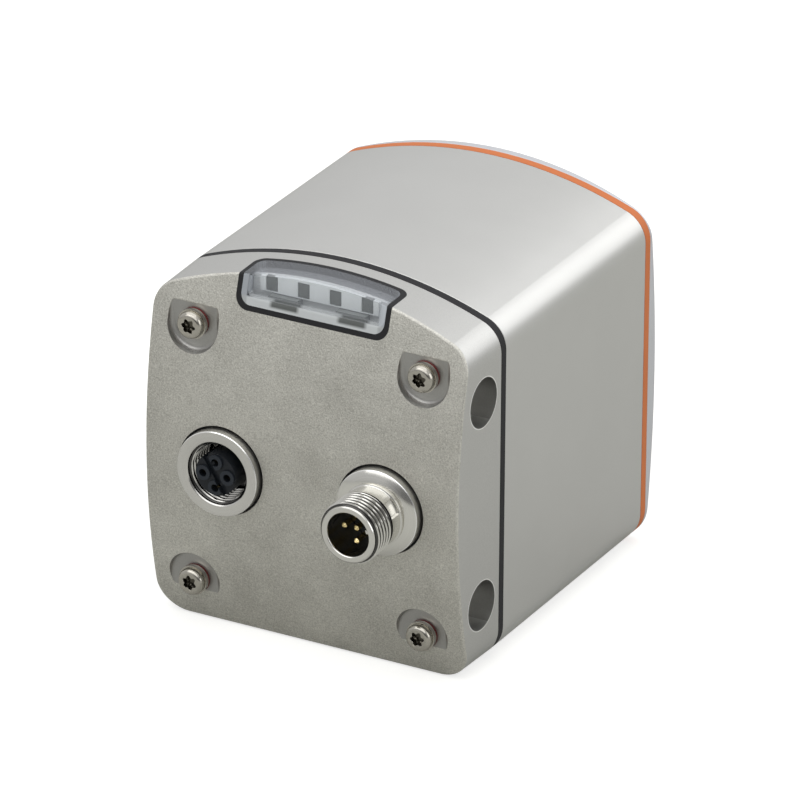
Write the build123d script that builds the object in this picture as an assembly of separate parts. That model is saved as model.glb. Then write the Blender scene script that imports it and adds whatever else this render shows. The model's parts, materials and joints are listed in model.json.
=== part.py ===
"""Time-of-flight camera: a metal housing with a domed rear cap, two round connectors and optics.

Millimetres. X runs to the right as seen from behind, Y along the optical axis towards the front,
Z up. While the pieces are made, Y is measured from the middle of the rear gasket. save() then
moves them so that the origin is below the middle of the whole camera, on the surface it stands on.
"""
from build123d import *
from functools import cache
from math import cos, pi, sin, sqrt
import os

os.makedirs("parts", exist_ok=True)

# Outline of the body, seen along the optical axis
body_width = 65.0
body_height = 72.0
crown_radius = 79.5
upper_corner = 6.0
lower_corner = 6.4
wall = 2.6
rim_bevel = 0.15

# Fits between pieces
small_gap = 0.1
fit_gap = 0.15
thread_gap = 0.05
screw_clearance = 0.2
neck_clearance = 0.15
insert_play = 0.07
lens_play = 0.05
barrel_play = 0.08

# How far a cut runs past the face that it opens
past = 1.0

# Lengths along the optical axis
gasket_thickness = 1.7
cap_length = 15.38
housing_length = 54.2
front_seal_thickness = 1.8
cover_depth = 5.35

# Rear cap
cap_draft = 1.5
back_radius = 117.8
back_below_middle = 1.2
back_wall = 2.6
cap_edge = 0.5

# Screws that hold the cap, in pockets that are open to the round end of the back
cap_screw_from_side = 8.92
cap_screw_low = 8.44
cap_screw_from_top = 12.4
screw_radius = 1.5
screw_head_radius = 2.8
screw_head_height = 2.4
head_bevel_share = 0.3
screw_seal_thickness = 0.35
pocket_half_width = 5.24
pocket_centre_shift = 0.34
pocket_below_back = 0.88
pocket_wall = 2.4
pocket_fillet = 0.9
boss_radius = 3.8
cap_screw_length = 24.0
boss_end = 1.5
blind_end = 0.4

# Blind bores in the sides of the cap
bore_radius = 4.75
bore_depth = 6.2
bore_low = 13.91
bore_from_top = 18.0
bore_from_gasket = 7.24
bore_wall = 1.5

# Status window, which wraps over the upper edge of the back
window_half_width = 15.6
window_drop = 8.0
window_front = 3.8
window_back_corner = 2.6
window_top_corner = 2.0
window_gasket_width = 1.0
window_wall = 1.2
window_rim = 0.6
led_count = 4
led_pitch = 6.5
led_width = 2.2
led_height = 2.7
led_drop = 3.3
led_depth = 0.8
led_frame_half_width = 12.1
led_frame_drop = 4.95
led_board_thickness = 0.8
led_board_inside = 2.85
led_board_below = 2.4
driver_width = 6.0
driver_height = 1.15
driver_depth = 1.9
driver_spacing = 13.8

# Round connectors, male on the right and female on the left
connector_half_spacing = 16.42
connector_height = 32.95
flange_radius = 8.27
flange_proud = 1.55
flange_bevel = 0.15
flange_thickness = 2.6
counterbore_radius = 8.75
connector_seal_thickness = 0.6
connector_neck_radius = 7.0
nut_across = 19.0
nut_thickness = 3.0
neck_beyond_nut = 1.0
solder_room = 6.4
pad_radius = 10.6
pad_thickness = 2.0
plug_reach = 10.5
plug_thread_radius = 6.0
plug_thread_length = 6.2
plug_neck_radius = 5.8
plug_mouth_radius = 4.17
plug_tip_radius = 5.28
plug_cone = 0.7
plug_step = 0.5
thread_runout = 0.2
plug_socket_depth = 9.0
socket_mouth_radius = 6.27
socket_thread_radius = 5.45
socket_depth = 8.5
insert_radius = 4.1
insert_proud = 0.6
collar_radius = 1.45
collar_height = 0.4
contact_radius = 0.5
contact_circle = 2.5
pin_below_rim = 3.05
pin_lead = 0.25
socket_contact_radius = 0.75
slot_width = 1.3
slot_depth = 1.0
slot_turn = 123.0
key_width = 1.5
key_depth = 0.5
socket_contact_recess = 2.0
sleeve_depth = 5.5

# Front cover, window and seal
front_radius = 205.0
window_from_side = 7.5
window_spare_height = 26.0
window_corner = 5.0
window_glass = 1.8
window_set_back = 3.3
window_ledge = 2.2
ledge_depth = 1.5
window_seal_thickness = 0.3
cover_boss_radius = 3.2
cover_boss_length = 4.9
lug_thickness = 5.0

# Optics and boards
board_thickness = 1.6
board_corner = 1.5
chassis_thickness = 3.0
chassis_side_gap = 1.9
chassis_below = 1.4
chassis_above = 10.0
chassis_corner = 4.0
optics_height = 33.0
sensor_board_size = 46.0
processor_board_width = 52.0
processor_board_height = 44.0
interface_board_width = 40.0
interface_board_height = 42.0
spacer_half_spacing = 17.0
spacer_radius = 2.2
stack_screw_radius = 1.25
stack_head_radius = 2.25
stack_head_height = 1.5
chassis_head_radius = 2.8
front_spacer_length = 12.0
middle_spacer_length = 10.8
header_width = 20.0
header_height = 4.0
header_offset = 13.5
sensor_chip_width = 13.0
sensor_chip_height = 11.0
sensor_chip_depth = 1.4
sensor_room = 0.5
holder_size = 24.0
holder_base = 4.0
holder_radius = 8.6
holder_length = 12.0
holder_ledge = 1.4
holder_opening = 4.8
holder_recess = 0.2
barrel_radius = 7.0
barrel_head_radius = 9.2
barrel_head_length = 7.0
barrel_length = 14.4
barrel_bore = 5.6
barrel_shoulder = 1.0
barrel_chamfer = 0.6
barrel_lead = 0.8
lens_opening = 4.2
lens_rim = 1.6
lens_bulge = 0.8
lens_edge = 0.8
lens_ring_wall = 0.7
rear_lens_space = 4.0
front_lens_space = 3.0
retainer_thickness = 1.0
filter_thickness = 0.6
filter_margin = 0.5
baffle_radius = 11.0
baffle_wall = 1.0
baffle_gap = 0.3
emitter_centre = 18.5
emitter_board_width = 11.0
emitter_board_height = 36.0
emitter_count = 4
emitter_pitch = 8.4
emitter_size = 3.5
emitter_depth = 1.0
reflector_depth = 3.0
reflector_mouth = 3.6
reflector_throat = 2.6
emitter_lens_depth = 1.2
emitter_lens_radius = 6.0
emitter_header_width = 3.0
emitter_header_height = 10.0
chip_size = 17.0
chip_depth = 1.6
memory_width = 7.0
memory_gap = 1.8
memory_height = 11.0
memory_depth = 1.0
pad_depth = 0.5
pad_margin = 1.0
spreader_thickness = 2.0
spreader_width = 24.0
spreader_foot = 14.0
flex_thickness = 0.3
flex_width = 8.0
flex_bend = 1.5
flex_overlap = 4.0
flex_lead = 2.0

# Places that follow the width and height of the body
back_height = body_height / 2 - back_below_middle
cap_screw_half_spacing = body_width / 2 - cap_screw_from_side
cap_screw_high = body_height - cap_screw_from_top
bore_high = body_height - bore_from_top
window_bottom = body_height - window_drop
led_level = body_height - led_drop
led_frame_bottom = body_height - led_frame_drop
window_width = body_width - 2 * window_from_side
window_height = body_height - window_spare_height
chassis_width = body_width - 2 * wall - 2 * chassis_side_gap
chassis_bottom = wall + chassis_below
chassis_height = body_height - chassis_above - chassis_bottom

# How far the round back has fallen away at the level of the upper screws and of the lights
fall_at_screws = back_radius - sqrt(back_radius**2 - (cap_screw_high - back_height) ** 2)
fall_at_lights = back_radius - sqrt(back_radius**2 - (led_level - back_height) ** 2)

# Stations along the optical axis, from the middle of the rear gasket
cap_front = -gasket_thickness / 2
back_peak = cap_front - cap_length
housing_rear = gasket_thickness / 2
housing_front = housing_rear + housing_length
cover_rear = housing_front + front_seal_thickness
cover_peak = cover_rear + cover_depth
flange_front = back_peak - flange_proud
plug_tip = flange_front - plug_reach
cover_front = cover_peak - front_radius + sqrt(front_radius**2 - window_height**2 / 4)
mid_length = (plug_tip + cover_front) / 2
pocket_floor = back_peak + fall_at_screws + pocket_below_back
glass_front = cover_peak - window_set_back
glass_rear = glass_front - window_glass
lug_front = cover_rear - cover_boss_length
lug_rear = lug_front - lug_thickness
chassis_front = lug_rear
chassis_rear = chassis_front - chassis_thickness
sensor_front = chassis_rear - front_spacer_length
sensor_rear = sensor_front - board_thickness
processor_front = sensor_rear - middle_spacer_length
processor_rear = processor_front - board_thickness
insert_face = flange_front - insert_proud
flange_seat = flange_front + flange_thickness
spot_face = flange_seat + connector_seal_thickness
nut_seat = spot_face + pad_thickness
nut_front = nut_seat + nut_thickness
neck_front = nut_front + neck_beyond_nut
interface_rear = nut_front + solder_room
interface_front = interface_rear + board_thickness

# Levels and stations of the status board, the optics and the light sources
led_board_rear = back_peak + fall_at_lights + led_board_inside
led_board_half = window_half_width - window_gasket_width
led_board_bottom = window_bottom + window_gasket_width
led_board_top = body_height - wall - window_rim
led_places = [led_pitch * (i - (led_count - 1) / 2) for i in range(led_count)]
holder_seat = sensor_front + holder_base - holder_recess
barrel_head_rear = sensor_front + holder_length
barrel_front = barrel_head_rear + barrel_head_length
barrel_rear = barrel_front - barrel_length
rear_lens_rear = barrel_rear + barrel_shoulder
middle_lens_rear = rear_lens_rear + lens_rim + rear_lens_space
front_lens_rear = middle_lens_rear + lens_rim + front_lens_space
retainer_rear = front_lens_rear + lens_rim
emitter_board_front = chassis_front + board_thickness
reflector_front = emitter_board_front + reflector_depth
emitter_levels = [
    optics_height + emitter_pitch * (i - (emitter_count - 1) / 2) for i in range(emitter_count)
]

# Places seen along the optical axis
screw_places = [
    (side * cap_screw_half_spacing, height)
    for side in (-1, 1)
    for height in (cap_screw_low, cap_screw_high)
]
spacer_places = [
    (x, optics_height + z)
    for x in (-spacer_half_spacing, spacer_half_spacing)
    for z in (-spacer_half_spacing, spacer_half_spacing)
]


def save(name, shape):
    """Writes one node, with the origin below the middle of the whole camera."""
    export_step(Pos(0, -mid_length, 0) * shape, f"parts/{name}.step")


def group(solids):
    """Separate like solids that share one node."""
    return Compound([solid for shape in solids for solid in shape.solids()])


def slab(face, rear, front):
    """A face drawn in X and Z, as thick as the distance between two stations."""
    return extrude(Plane.XZ.offset(-front) * face, front - rear)


def block(width, height, rear, front, x=0.0, z=0.0):
    return Pos(x, (rear + front) / 2, z) * Box(width, front - rear, height)


def rod(x, z, radius, rear, front):
    """A cylinder along the optical axis."""
    start = Pos(x, rear, z) * Rot(-90, 0, 0)
    return start * Cylinder(radius, front - rear, align=(Align.CENTER, Align.CENTER, Align.MIN))


def ring(x, z, outer, inner, rear, front):
    return rod(x, z, outer, rear, front) - rod(x, z, inner, rear, front)


def turned(x, z, points):
    """A solid turned about an axis along Y, from its half section of radius and station."""
    return Pos(x, 0, z) * revolve(Polygon(*points, align=None), Axis.Y, 360)


def rounded(width, height, corner, x=0.0, z=0.0):
    return Pos(x, z) * RectangleRounded(width, height, corner)


def outline(inset=0.0):
    """The body's outline: flat bottom and sides under one crown arc."""
    half = body_width / 2 - inset
    crown = Pos(0, body_height - crown_radius) * Circle(crown_radius - inset)
    sides = Pos(0, inset) * Rectangle(2 * half, body_height, align=(Align.CENTER, Align.MIN))
    face = sides & crown
    corners = face.vertices().sort_by(Axis.Y)
    face = fillet(corners[2:], max(upper_corner - inset, fit_gap))
    low = face.vertices().sort_by(Axis.Y)[:2]
    return fillet(low, max(lower_corner - inset, fit_gap))


def rim(station, end):
    """A thin slab of the body's outline that narrows towards one end: 1 is the front, -1 the rear."""
    return extrude(Plane.XZ.offset(-station) * outline(), rim_bevel, (0, end, 0), taper=45)


def across(radius, y, z):
    """A long cylinder along X that bounds a domed end."""
    return Pos(0, y, z) * Rot(0, 90, 0) * Cylinder(radius, 2 * body_width)


@cache
def cap_envelope():
    """The cap's outer form: drafted sides, and a back that is round from top to bottom."""
    start = cap_front - rim_bevel
    body = extrude(Plane.XZ.offset(-start) * outline(), cap_length + 2 * past, taper=cap_draft)
    body = body & across(back_radius, back_peak + back_radius, back_height)
    back = body.faces().sort_by(Axis.Y)[0]
    return fillet(back.edges(), cap_edge) + rim(start, 1)


@cache
def cap_cavity():
    """The hollow of the cap, open to the front."""
    hollow = slab(outline(wall), back_peak, cap_front)
    return hollow & across(back_radius - back_wall, back_peak + back_radius, back_height)


def window_block(inset=0.0):
    """What the status window takes out of the upper edge of the back."""
    half = window_half_width - inset
    bottom = window_bottom + inset
    top = body_height + past
    front = -window_front - inset
    rear = back_peak
    seen_from_back = Pos(0, (bottom + top) / 2) * Rectangle(2 * half, top - bottom)
    low = seen_from_back.vertices().sort_by(Axis.Y)[:2]
    seen_from_back = fillet(low, window_back_corner - inset / 2)
    seen_from_top = Pos(0, (front + rear) / 2) * Rectangle(2 * half, front - rear)
    far = seen_from_top.vertices().sort_by(Axis.Y)[2:]
    seen_from_top = fillet(far, window_top_corner - inset / 2)
    return slab(seen_from_back, rear, front) & Pos(0, 0, bottom) * extrude(seen_from_top, top - bottom)


def pocket(x, z, grow=0.0):
    """The U-shaped outline of a screw pocket, round towards the middle of the back."""
    towards_edge = 1 if z > body_height / 2 else -1
    centre = z - towards_edge * pocket_centre_shift
    half = pocket_half_width + grow
    length = 2 * pocket_half_width
    flank = Pos(x, centre + towards_edge * length / 2) * Rectangle(2 * half, length)
    return flank + Pos(x, centre) * Circle(half)


def side_bore(side, height, grow=0.0):
    depth = bore_depth + grow
    start = Pos(side * (body_width / 2 - depth), -bore_from_gasket, height) * Rot(0, side * 90, 0)
    length = depth + 2 * past
    return start * Cylinder(bore_radius + grow, length, align=(Align.CENTER, Align.CENTER, Align.MIN))


def rear_cap():
    envelope = cap_envelope()
    cap = envelope - cap_cavity()
    for x, z in screw_places:
        backing = slab(pocket(x, z, pocket_wall / 2), pocket_floor - past, pocket_floor + pocket_wall)
        cap = cap + (backing & envelope)
        cap = cap + (rod(x, z, boss_radius, pocket_floor, cap_front) & envelope)
    for side in (-1, 1):
        for height in (bore_low, bore_high):
            cap = cap + (side_bore(side, height, bore_wall) & envelope)
        cap = cap + rod(side * connector_half_spacing, connector_height, pad_radius, spot_face, nut_seat)
    for x, z in screw_places:
        cutter = slab(pocket(x, z), back_peak - past, pocket_floor)
        cap = cap - fillet(cutter.faces().sort_by(Axis.Y)[-1].edges(), pocket_fillet)
        cap = cap - rod(x, z, screw_radius + screw_clearance, pocket_floor - past, cap_front + past)
    for side in (-1, 1):
        for height in (bore_low, bore_high):
            cap = cap - side_bore(side, height)
        x = side * connector_half_spacing
        cap = cap - rod(x, connector_height, counterbore_radius, back_peak - past, spot_face)
        through = connector_neck_radius + neck_clearance
        cap = cap - rod(x, connector_height, through, spot_face - past, nut_seat + past)
    return cap - window_block()


def body_ring(rear, front):
    """A seal that lies on the rim of the housing."""
    return slab(outline() - outline(wall), rear, front)


def main_housing():
    """A tube with four rear screw bosses, and four lugs that the front cover is screwed to."""
    shell = slab(outline(), housing_rear + rim_bevel, housing_front - rim_bevel)
    shell = shell + rim(housing_rear + rim_bevel, -1) + rim(housing_front - rim_bevel, 1)
    shell = shell - slab(outline(wall), housing_rear - past, housing_front + past)
    boss_front = pocket_floor + cap_screw_length + boss_end
    room = slab(outline(wall / 2), housing_rear, housing_front)
    for x, z in screw_places:
        side = 1 if x > 0 else -1
        reach = body_width / 2 - wall / 2 - abs(x)
        web = block(reach, boss_radius, housing_rear, boss_front, x + side * reach / 2, z)
        boss = rod(x, z, boss_radius, housing_rear, boss_front) + web
        shell = shell + (boss & room)
        foot = block(reach, 2 * boss_radius, lug_rear, lug_front, x + side * reach / 2, z)
        lug = rod(x, z, boss_radius, lug_rear, lug_front) + foot
        shell = shell + (lug & room)
    for x, z in screw_places:
        shell = shell - rod(x, z, screw_radius + thread_gap, housing_rear - past, boss_front - boss_end / 2)
        shell = shell - rod(x, z, screw_radius + screw_clearance, lug_rear - past, lug_front + past)
    return shell


def front_cover():
    """A domed frame with a ledge for the glass, and four bosses for the screws from inside."""
    plate = slab(outline(), cover_rear + rim_bevel, cover_peak) + rim(cover_rear + rim_bevel, -1)
    plate = plate & Pos(0, cover_peak - front_radius, optics_height) * Sphere(front_radius)
    ledge_width = window_width + 2 * wall
    ledge_height = window_height + 2 * wall
    ledge = slab(
        rounded(ledge_width, ledge_height, window_corner + wall, 0, optics_height),
        glass_rear - ledge_depth,
        cover_rear,
    )
    cover = plate + ledge
    for x, z in screw_places:
        cover = cover + rod(x, z, cover_boss_radius, lug_front, cover_rear)
    opening = rounded(window_width, window_height, window_corner, 0, optics_height)
    clear_width = window_width - 2 * window_ledge
    clear_height = window_height - 2 * window_ledge
    clear = rounded(clear_width, clear_height, window_corner - window_ledge, 0, optics_height)
    cover = cover - slab(opening, glass_rear - window_seal_thickness, cover_peak + past)
    cover = cover - slab(clear, glass_rear - ledge_depth - past, cover_peak)
    for x, z in screw_places:
        cover = cover - rod(x, z, screw_radius + thread_gap, lug_front - past, cover_rear - blind_end)
    return cover


def front_window():
    width = window_width - 2 * fit_gap
    height = window_height - 2 * fit_gap
    glass = rounded(width, height, window_corner - fit_gap, 0, optics_height)
    return slab(glass, glass_rear, glass_front)


def front_window_seal():
    width = window_width - 2 * fit_gap
    height = window_height - 2 * fit_gap
    outer = rounded(width, height, window_corner - fit_gap, 0, optics_height)
    clear_width = window_width - 2 * window_ledge
    clear_height = window_height - 2 * window_ledge
    inner = rounded(clear_width, clear_height, window_corner - window_ledge, 0, optics_height)
    return slab(outer - inner, glass_rear - window_seal_thickness, glass_rear)


def screw(x, z, seat, length, radius, head_radius, head_height):
    """A screw that points forward, with its bevelled head behind the seat."""
    head = rod(x, z, head_radius, seat - head_height, seat)
    rear_edge = head.edges().sort_by(Axis.Y)[0]
    head = chamfer(rear_edge, head_bevel_share * head_height)
    return head + rod(x, z, radius, seat, seat + length)


def cap_screws():
    seat = pocket_floor - screw_seal_thickness
    return group(
        screw(x, z, seat, cap_screw_length, screw_radius, screw_head_radius, screw_head_height)
        for x, z in screw_places
    )


def screw_seals():
    rear = pocket_floor - screw_seal_thickness
    inner = screw_radius + screw_clearance / 2
    return group(ring(x, z, screw_head_radius, inner, rear, pocket_floor) for x, z in screw_places)


def window_hollow():
    """The pocket behind the clear window, inside a thicker rim."""
    thin = slab(outline(window_wall), back_peak, cap_front)
    thin = thin & across(back_radius - window_wall, back_peak + back_radius, back_height)
    return thin & window_block(window_gasket_width + window_rim)


def status_window():
    """The clear window: a rim as thick as the cap's wall, thinner inside, with a cheek at each end."""
    lens = (cap_envelope() & window_block(window_gasket_width)) - cap_cavity()
    for side in (-1, 1):
        x = side * (led_board_half - window_rim / 2)
        height = led_board_top - led_board_bottom
        z = (led_board_top + led_board_bottom) / 2
        cheek = block(window_rim, height, back_peak, led_board_rear, x, z)
        lens = lens + (cheek & cap_envelope() & window_block(window_gasket_width))
    return lens - window_hollow()


def status_window_gasket():
    channel = window_block() - window_block(window_gasket_width)
    return (cap_envelope() & channel) - cap_cavity()


def behind_window(half, bottom, inset):
    """An area of the given half width from one level up to the crown."""
    area = Pos(0, (bottom + body_height) / 2) * Rectangle(2 * half, body_height - bottom)
    return outline(inset) & area


def led_board():
    bottom = led_board_bottom - led_board_below
    ears = behind_window(led_board_half - small_gap, bottom, wall + small_gap)
    half = led_board_half - window_rim - small_gap
    middle = behind_window(half, bottom, window_wall + small_gap)
    return slab(ears + middle, led_board_rear, led_board_rear + led_board_thickness)


def status_leds():
    return group(
        block(led_width, led_height, led_board_rear - led_depth, led_board_rear, x, led_level)
        for x in led_places
    )


def led_frame():
    """A pale frame round the lights, whose upper edge follows the crown."""
    face = behind_window(led_frame_half_width, led_frame_bottom, window_wall + small_gap)
    for x in led_places:
        face = face - Pos(x, led_level) * Rectangle(led_width + 2 * small_gap, led_height + 2 * small_gap)
    return slab(face, led_board_rear - led_depth, led_board_rear)


def led_drivers():
    """Two dark chips on the status board, below the lights."""
    z = led_board_bottom + window_rim + small_gap + driver_height / 2
    return group(
        block(driver_width, driver_height, led_board_rear - driver_depth, led_board_rear, x, z)
        for x in (-driver_spacing / 2, driver_spacing / 2)
    )


def status_flex():
    """A flat cable from the front of the status board to the rear of the interface board."""
    upper = led_board_rear + led_board_thickness + flex_thickness / 2
    lower = interface_rear - flex_thickness / 2
    board_top = optics_height + interface_board_height / 2
    path = FilletPolyline(
        (0, upper, led_level),
        (0, upper, (led_level + board_top) / 2),
        (0, lower, board_top + flex_lead),
        (0, lower, board_top - flex_overlap),
        radius=flex_bend,
    )
    section = Plane(path @ 0, x_dir=(1, 0, 0), z_dir=path % 0) * Rectangle(flex_width, flex_thickness)
    return sweep(section, path=path)


def contact_places(centre):
    """The middle and four points round it, or only the four."""
    turns = [i * pi / 2 for i in range(4)]
    places = [(contact_circle * cos(a), contact_circle * sin(a)) for a in turns]
    return places + [(0.0, 0.0)] if centre else places


def plug_shell():
    """The male connector's shell: threaded tube, plain neck, sloped flange and neck for the nut."""
    x = connector_half_spacing
    cone = flange_front - plug_cone
    thread_end = plug_tip + plug_thread_length
    chamfer = plug_thread_radius - plug_tip_radius
    points = [
        (plug_mouth_radius, plug_tip),
        (plug_tip_radius, plug_tip),
        (plug_thread_radius, plug_tip + chamfer),
        (plug_thread_radius, thread_end),
        (plug_neck_radius, thread_end + thread_runout),
        (plug_neck_radius, cone),
        (plug_neck_radius + plug_step, cone),
        (flange_radius - flange_bevel, flange_front),
        (flange_radius, flange_front + flange_bevel),
        (flange_radius, flange_seat),
        (connector_neck_radius, flange_seat),
        (connector_neck_radius, neck_front),
        (plug_mouth_radius, neck_front),
    ]
    return turned(x, connector_height, points)


def socket_shell():
    """The female connector's shell, with a wide bore for the mating thread."""
    x = -connector_half_spacing
    lead = socket_mouth_radius - socket_thread_radius
    points = [
        (socket_mouth_radius, flange_front),
        (flange_radius - flange_bevel, flange_front),
        (flange_radius, flange_front + flange_bevel),
        (flange_radius, flange_seat),
        (connector_neck_radius, flange_seat),
        (connector_neck_radius, neck_front),
        (insert_radius + insert_play, neck_front),
        (insert_radius + insert_play, flange_front + socket_depth),
        (socket_thread_radius, flange_front + socket_depth),
        (socket_thread_radius, flange_front + lead),
    ]
    return turned(x, connector_height, points)


def plug_insert():
    """The black core that holds the pins, set back inside the shell."""
    x = connector_half_spacing
    face = plug_tip + plug_socket_depth
    radius = plug_mouth_radius - insert_play
    core = rod(x, connector_height, radius, face, neck_front)
    for px, pz in contact_places(True):
        core = core - rod(x + px, connector_height + pz, contact_radius, face - past, neck_front + past)
    return core


def plug_pins():
    x = connector_half_spacing
    tip = plug_tip + pin_below_rim
    pins = []
    for px, pz in contact_places(True):
        pin = rod(x + px, connector_height + pz, contact_radius, tip, interface_front)
        pins.append(chamfer(pin.edges().sort_by(Axis.Y)[0], pin_lead))
    return group(pins)


def socket_insert():
    """The black core of the female connector: a collar round each contact, and a cross slot."""
    x = -connector_half_spacing
    core = rod(x, connector_height, insert_radius, insert_face + collar_height, neck_front)
    for px, pz in contact_places(False):
        core = core + rod(x + px, connector_height + pz, collar_radius, insert_face, flange_front)
    for px, pz in contact_places(False):
        place = (x + px, connector_height + pz)
        core = core - rod(*place, socket_contact_radius, insert_face - past, neck_front + past)
    rear = insert_face - past
    slot = block(2 * insert_radius, slot_width, rear, insert_face + slot_depth)
    key = block(2 * key_depth, key_width, rear, flange_front + socket_depth, insert_radius)
    return core - Pos(x, 0, connector_height) * Rot(0, -slot_turn, 0) * (slot + key)


def socket_contacts():
    """Four sleeves, open to the back, with solid tails that reach the interface board."""
    x = -connector_half_spacing
    solids = []
    for px, pz in contact_places(False):
        mouth = insert_face + socket_contact_recess
        floor = mouth + sleeve_depth
        sleeve = ring(x + px, connector_height + pz, socket_contact_radius, contact_radius, mouth, floor)
        body = rod(x + px, connector_height + pz, socket_contact_radius, floor, neck_front)
        tail = rod(x + px, connector_height + pz, contact_radius, neck_front, interface_front)
        solids.append(sleeve + body + tail)
    return group(solids)


def connector_seal(side):
    x = side * connector_half_spacing
    outer = counterbore_radius - small_gap
    inner = connector_neck_radius + small_gap
    return ring(x, connector_height, outer, inner, flange_seat, spot_face)


def connector_nut(side):
    x = side * connector_half_spacing
    hexagon = Pos(x, connector_height) * RegularPolygon(nut_across / 2, 6, major_radius=False)
    return slab(hexagon, nut_seat, nut_front) - rod(
        x, connector_height, connector_neck_radius, nut_seat - past, nut_front + past
    )


def board(width, height, rear, front, z=optics_height):
    """A circuit board with the four holes for the stack screws."""
    plate = slab(rounded(width, height, board_corner, 0, z), rear, front)
    for x, hole_z in spacer_places:
        plate = plate - rod(x, hole_z, stack_screw_radius + small_gap, rear - past, front + past)
    return plate


def interface_board():
    plate = board(interface_board_width, interface_board_height, interface_rear, interface_front)
    for side, centre in ((1, True), (-1, False)):
        for px, pz in contact_places(centre):
            x = side * connector_half_spacing + px
            plate = plate - rod(x, connector_height + pz, contact_radius, interface_rear, interface_front)
    return plate


def processor_board():
    return board(processor_board_width, processor_board_height, processor_rear, processor_front)


def sensor_board():
    return board(sensor_board_size, sensor_board_size, sensor_rear, sensor_front)


def header(rear, front, z):
    """A board-to-board connector, as long as the distance between its boards."""
    return block(header_width, header_height, rear, front, 0, z)


def spacers(rear, front):
    hole = stack_screw_radius + small_gap
    return group(ring(x, z, spacer_radius, hole, rear, front) for x, z in spacer_places)


def stack_screws():
    """Four long screws through the boards and spacers into the chassis."""
    length = chassis_rear + chassis_thickness / 2 - interface_rear
    return group(
        screw(x, z, interface_rear, length, stack_screw_radius, stack_head_radius, stack_head_height)
        for x, z in spacer_places
    )


def processor_chip():
    return block(chip_size, chip_size, processor_rear - chip_depth, processor_rear, 0, optics_height)


def memory_chips():
    rear = processor_rear - memory_depth
    offset = chip_size / 2 + memory_gap + memory_width / 2
    return group(
        block(memory_width, memory_height, rear, processor_rear, side * offset, optics_height)
        for side in (-1, 1)
    )


def thermal_pad():
    front = processor_rear - chip_depth
    size = chip_size - 2 * pad_margin
    return block(size, size, front - pad_depth, front, 0, optics_height)


def heat_spreader():
    """An angle that leads the processor's heat to the floor of the housing."""
    front = processor_rear - chip_depth - pad_depth
    rear = front - spreader_thickness
    top = optics_height + chip_size / 2
    plate = block(spreader_width, top - wall, rear, front, 0, (top + wall) / 2)
    foot_centre = wall + spreader_thickness / 2
    foot = block(spreader_width, spreader_thickness, rear, rear + spreader_foot, 0, foot_centre)
    return plate + foot


def optics_chassis():
    """The plate that carries the optics and the light sources, clamped against the lugs."""
    middle = chassis_bottom + chassis_height / 2
    face = rounded(chassis_width, chassis_height, chassis_corner, 0, middle)
    plate = slab(face, chassis_rear, chassis_front)
    opening = barrel_head_radius + small_gap
    plate = plate - rod(0, optics_height, opening, chassis_rear - past, chassis_front + past)
    for x, z in screw_places:
        plate = plate - rod(x, z, screw_radius + screw_clearance, chassis_rear - past, chassis_front + past)
    for x, z in spacer_places:
        tapped = rod(x, z, stack_screw_radius + thread_gap, chassis_rear - past, chassis_front - boss_end / 2)
        plate = plate - tapped
    for side in (-1, 1):
        slot = block(
            emitter_header_width + 2 * small_gap,
            emitter_header_height + 2 * small_gap,
            chassis_rear - past,
            chassis_front + past,
            side * emitter_centre,
            optics_height,
        )
        plate = plate - slot
    return plate


def chassis_screws():
    """Four screws through chassis and lugs into the front cover."""
    length = chassis_thickness + lug_thickness + cover_boss_length - 2 * blind_end
    return group(
        screw(x, z, chassis_rear, length, screw_radius, chassis_head_radius, screw_head_height)
        for x, z in screw_places
    )


def image_sensor():
    front = sensor_front + sensor_chip_depth
    return block(sensor_chip_width, sensor_chip_height, sensor_front, front, 0, optics_height)


def lens_holder():
    """A block over the image sensor, with a tube that the barrel is screwed into."""
    base_front = sensor_front + holder_base
    holder = block(holder_size, holder_size, sensor_front, base_front, 0, optics_height)
    holder = holder + rod(0, optics_height, holder_radius, base_front, barrel_head_rear)
    room = block(
        sensor_chip_width + 2 * sensor_room,
        sensor_chip_height + 2 * sensor_room,
        sensor_front - past,
        holder_seat - holder_ledge,
        0,
        optics_height,
    )
    holder = holder - room - rod(0, optics_height, holder_opening, sensor_front, holder_seat + past)
    thread = rod(0, optics_height, barrel_radius + barrel_play, holder_seat, barrel_head_rear + past)
    return holder - thread


def infrared_filter():
    return rod(0, optics_height, barrel_radius - filter_margin, holder_seat, holder_seat + filter_thickness)


def lens_barrel():
    """The lens tube: a thread in the holder and a wider head in front of it."""
    points = [
        (lens_opening, barrel_rear),
        (barrel_radius, barrel_rear),
        (barrel_radius, barrel_head_rear),
        (barrel_head_radius, barrel_head_rear),
        (barrel_head_radius, barrel_front - barrel_chamfer),
        (barrel_head_radius - barrel_chamfer, barrel_front),
        (barrel_bore + barrel_lead, barrel_front),
        (barrel_bore, barrel_front - barrel_lead),
        (barrel_bore, rear_lens_rear),
        (lens_opening, rear_lens_rear),
    ]
    return turned(0, optics_height, points)


def lens(rear):
    """A plano-convex element: a flat rear face, a cylindrical rim and a domed front."""
    radius = barrel_bore - lens_play
    aperture = barrel_bore - lens_edge
    sphere_radius = (aperture**2 + lens_bulge**2) / (2 * lens_bulge)
    rim = rear + lens_rim
    cap = Pos(0, rim + lens_bulge - sphere_radius, optics_height) * Sphere(sphere_radius)
    dome = cap & rod(0, optics_height, radius, rim, rim + lens_bulge + past)
    return rod(0, optics_height, radius, rear, rim) + dome


def lens_spacers():
    outer = barrel_bore - lens_play
    inner = barrel_bore - lens_ring_wall
    return group(
        ring(0, optics_height, outer, inner, rear + lens_rim, rear + lens_rim + space)
        for rear, space in ((rear_lens_rear, rear_lens_space), (middle_lens_rear, front_lens_space))
    )


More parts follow.
